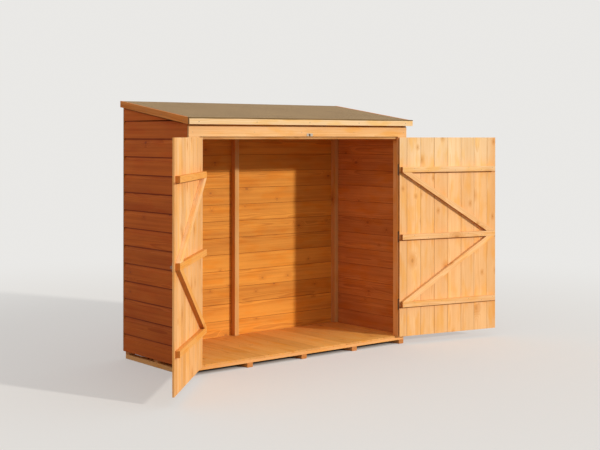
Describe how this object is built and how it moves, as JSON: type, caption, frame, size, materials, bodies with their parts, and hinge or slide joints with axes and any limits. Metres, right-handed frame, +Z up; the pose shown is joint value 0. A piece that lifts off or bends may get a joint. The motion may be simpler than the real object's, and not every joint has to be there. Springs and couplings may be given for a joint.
{
  "type": "bike shelter",
  "caption": "Low timber wall store for bicycles with a felted pent roof, a boarded floor and ledged and braced double doors on strap hinges.",
  "frame": {"origin": "on the ground, under the middle of the footprint, on the underside of the middle floor bearer", "axes": "+X to the right along the front as seen by a person facing the doors, +Y from the front to the back, +Z up"},
  "size_m": [3.0626, 1.3906, 1.6926],
  "materials": {
    "treated_boards": "dip treated softwood boards, red brown",
    "treated_frame": "dip treated sawn softwood, orange brown",
    "floor_timber": "sawn softwood, orange brown",
    "roofing_felt": "mineral felt, grey brown",
    "zinc_plate": "zinc plated steel"
  },
  "bodies": {
    "shelter": {"floor_bearers": "floor_timber", "floor_joists": "floor_timber", "floor_boards": "floor_timber", "left_wall": "treated_boards", "right_wall": "treated_boards", "back_wall": "treated_boards", "left_front_post": "treated_frame", "right_front_post": "treated_frame", "left_back_stud": "treated_frame", "right_back_stud": "treated_frame", "middle_back_stud": "treated_frame", "door_lintel": "treated_frame", "back_top_rail": "treated_frame", "left_top_rail": "treated_frame", "right_top_rail": "treated_frame", "centre_rafter": "treated_frame", "header_board": "treated_boards", "left_corner_trim": "treated_boards", "right_corner_trim": "treated_boards", "roof_boards": "treated_boards", "roof_felt": "roofing_felt", "front_fascia": "treated_boards", "left_fascia": "treated_boards", "right_fascia": "treated_boards", "left_hinge_plates": "zinc_plate", "right_hinge_plates": "zinc_plate", "header_keep": "zinc_plate"},
    "left_door": {"left_door_boards": "treated_boards", "left_top_ledge": "treated_frame", "left_middle_ledge": "treated_frame", "left_bottom_ledge": "treated_frame", "left_upper_brace": "treated_frame", "left_lower_brace": "treated_frame", "left_hinge_straps": "zinc_plate", "left_keep": "zinc_plate"},
    "right_door": {"right_door_boards": "treated_boards", "right_top_ledge": "treated_frame", "right_middle_ledge": "treated_frame", "right_bottom_ledge": "treated_frame", "right_upper_brace": "treated_frame", "right_lower_brace": "treated_frame", "right_hinge_straps": "zinc_plate", "top_bolt": "zinc_plate", "middle_bolt": "zinc_plate"}
  },
  "joints": [
    {"name": "left_door_hinge", "type": "hinge", "parent": "shelter", "child": "left_door", "pos_m": [-0.8325, -0.4005, 0.756], "axis": [0, 0, -1], "range_deg": [-134.5, 40.5]},
    {"name": "right_door_hinge", "type": "hinge", "parent": "shelter", "child": "right_door", "pos_m": [0.8325, -0.4005, 0.756], "axis": [0, 0, 1], "range_deg": [-168.5, 6.5]}
  ]
}
